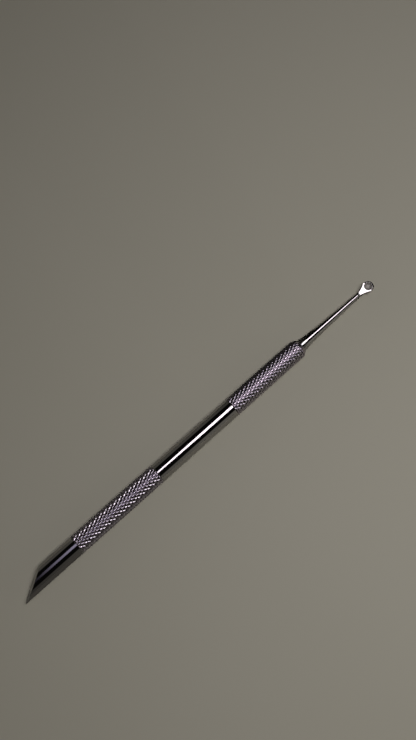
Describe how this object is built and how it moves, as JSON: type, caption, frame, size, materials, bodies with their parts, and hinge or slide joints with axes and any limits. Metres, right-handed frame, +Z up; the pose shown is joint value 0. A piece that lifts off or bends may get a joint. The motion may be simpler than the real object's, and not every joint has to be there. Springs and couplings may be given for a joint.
{
  "type": "cuticle pusher",
  "caption": "Double-ended steel cuticle pusher: bevel-ground round end, knurled round handle with polished barrel, slim shank and small round spoon.",
  "frame": {"origin": "under the middle of the tool's length, on the surface that it lies on", "axes": "+X along the tool from the bevelled pusher end to the spoon end, +Z up with the spoon's flat facet on top, bevel facing -X and +Y"},
  "size_m": [0.1303, 0.0056, 0.0056],
  "materials": {
    "polished_steel": "mirror polished stainless steel",
    "knurled_steel": "diamond knurled and polished stainless steel",
    "turned_steel": "plain turned steel, hidden inside"
  },
  "bodies": {
    "root": {"core_rod": "turned_steel", "pusher_tip": "polished_steel", "lower_knurled_sleeve": "knurled_steel", "centre_barrel": "polished_steel", "upper_knurled_sleeve": "knurled_steel", "neck_shank": "polished_steel", "spoon_head": "polished_steel"}
  },
  "joints": []
}
